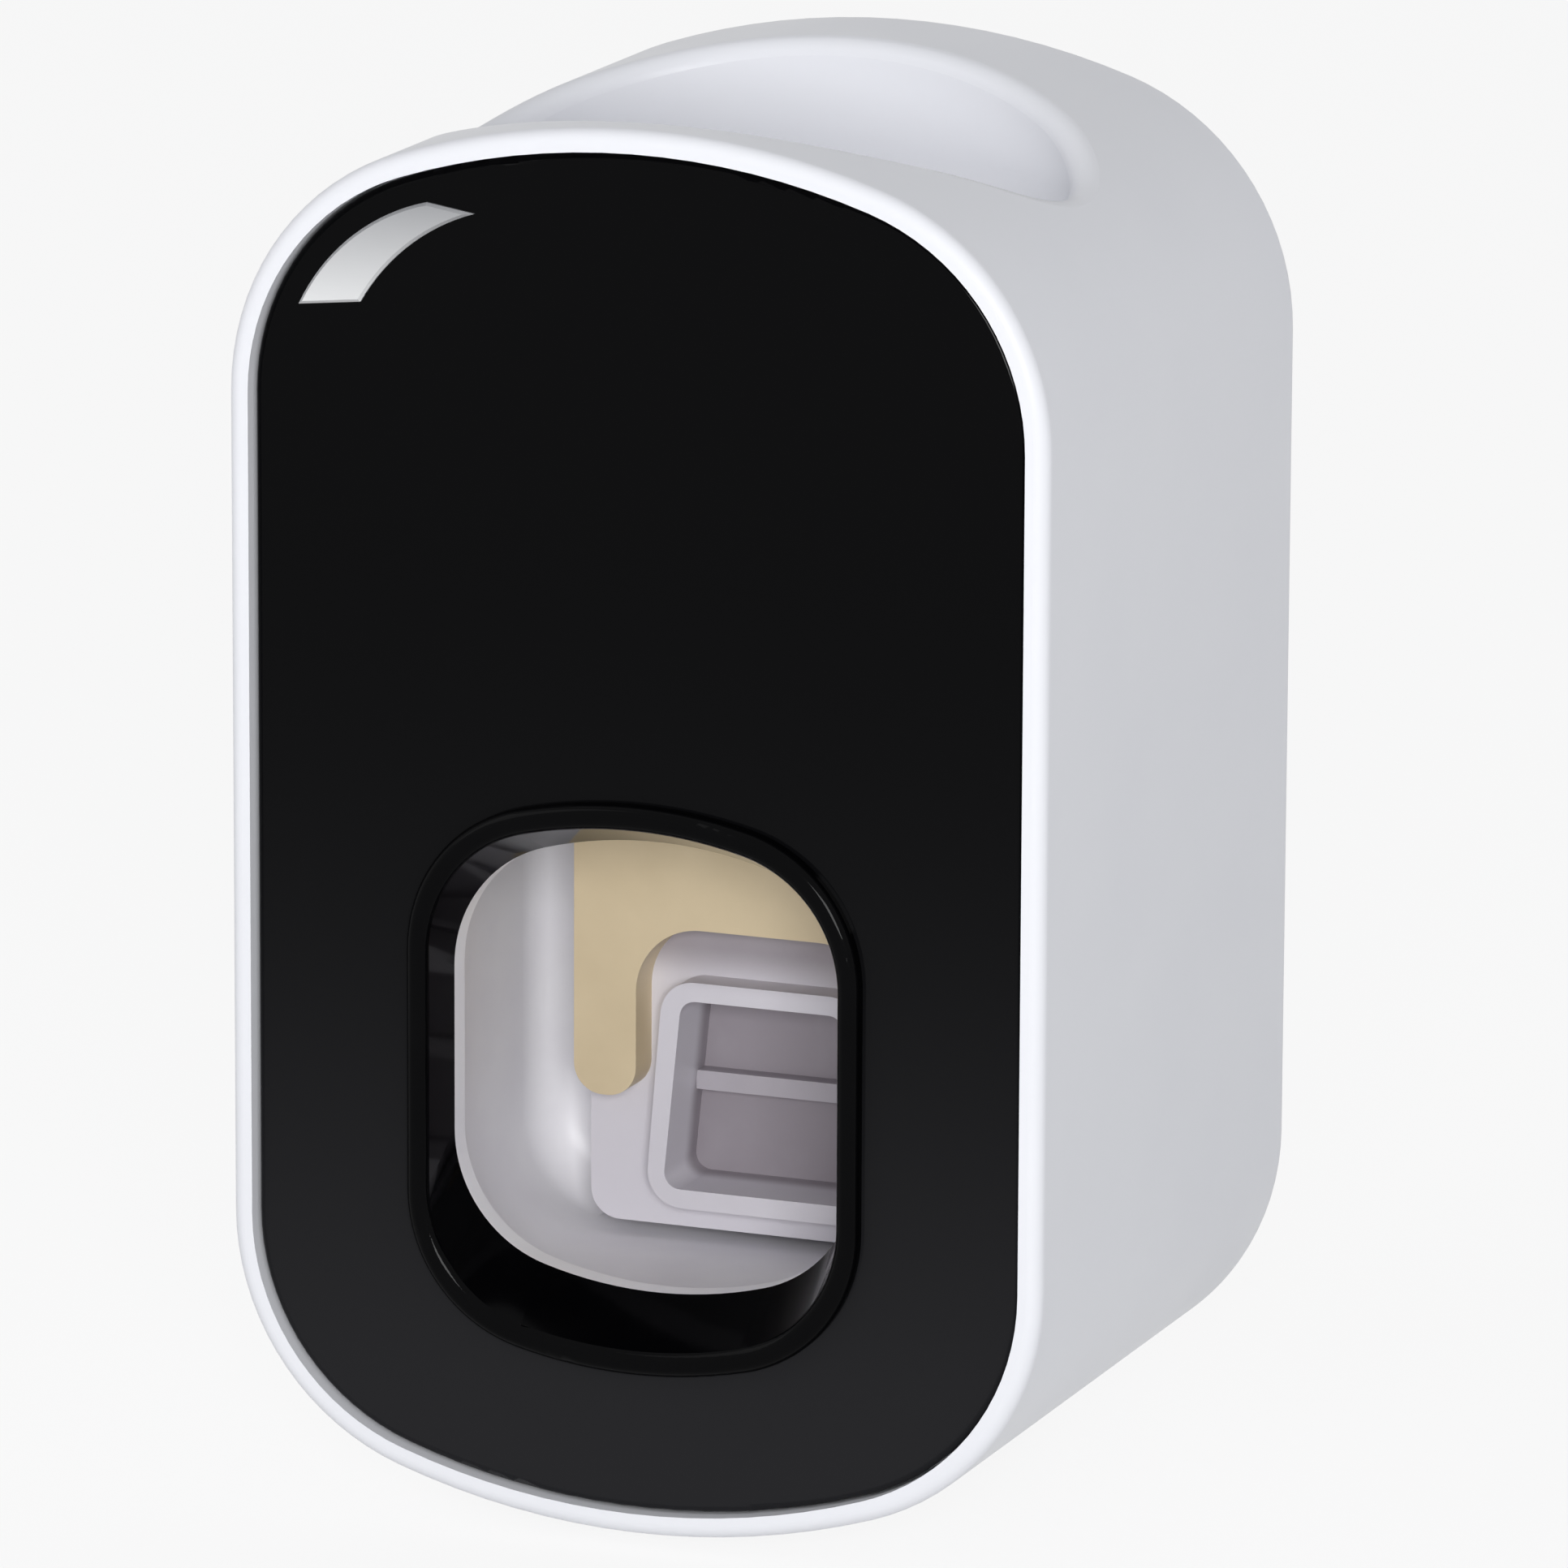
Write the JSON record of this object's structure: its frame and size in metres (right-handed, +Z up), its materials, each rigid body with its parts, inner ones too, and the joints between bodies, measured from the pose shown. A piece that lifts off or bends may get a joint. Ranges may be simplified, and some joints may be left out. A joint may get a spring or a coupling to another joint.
{
  "type": "toothpaste dispenser",
  "caption": "Wall-hung dispenser: an upturned tube plugs into the top dish, and a brush pushed into the front window swings a sprung lever that squeezes paste onto it.",
  "frame": {"origin": "middle of the adhesive pad's wall face", "axes": "+Z up, +Y into the wall, front window faces -Y"},
  "size_m": [0.061, 0.0519, 0.1],
  "materials": {
    "white_casing": "glossy",
    "black_gloss": "high gloss",
    "tape": "matt",
    "silver_trim": "satin",
    "chamber_white": "semi-gloss",
    "cream_plastic": "satin",
    "grey_plastic": "satin",
    "silicone": "satin",
    "black_rubber": "satin",
    "foam_tape": "matt",
    "steel": "satin"
  },
  "bodies": {
    "wall_mount": {"wall_bracket": "white_casing", "adhesive_pad": "foam_tape"},
    "housing": {"outer_casing": "white_casing", "panel_carrier": "white_casing", "front_panel": "black_gloss", "panel_tape": "tape", "window_bezel": "black_gloss", "accent_badge": "silver_trim", "mouth_plate": "chamber_white", "brush_chamber": "chamber_white", "pivot_pin": "steel", "return_spring": "steel", "pump_body": "grey_plastic", "squeeze_dome": "silicone", "dome_retainer": "grey_plastic", "retainer_screws": "steel", "tube_socket": "grey_plastic", "socket_seal": "silicone", "socket_o_ring": "black_rubber", "inlet_valve": "silicone", "outlet_nozzle": "silicone", "back_cover": "white_casing", "cover_screws": "steel", "chamber_screws": "steel", "pump_screws": "steel", "stop_bumpers": "silicone"},
    "trigger": {"trigger_yoke": "cream_plastic", "brush_cup": "grey_plastic", "cup_screws": "steel"}
  },
  "joints": [
    {"name": "housing_lift", "type": "slide", "parent": "wall_mount", "child": "housing", "axis": [0, 0, 1], "range_m": [0, 0.055]},
    {"name": "trigger_swing", "type": "hinge", "parent": "housing", "child": "trigger", "pos_m": [0, -0.026, 0.0032], "axis": [1, 0, 0], "range_deg": [0, 14], "stiffness_Nm_per_rad": 0.1, "springref_deg": -8.59, "deforming": ["squeeze_dome", "return_spring"]}
  ]
}
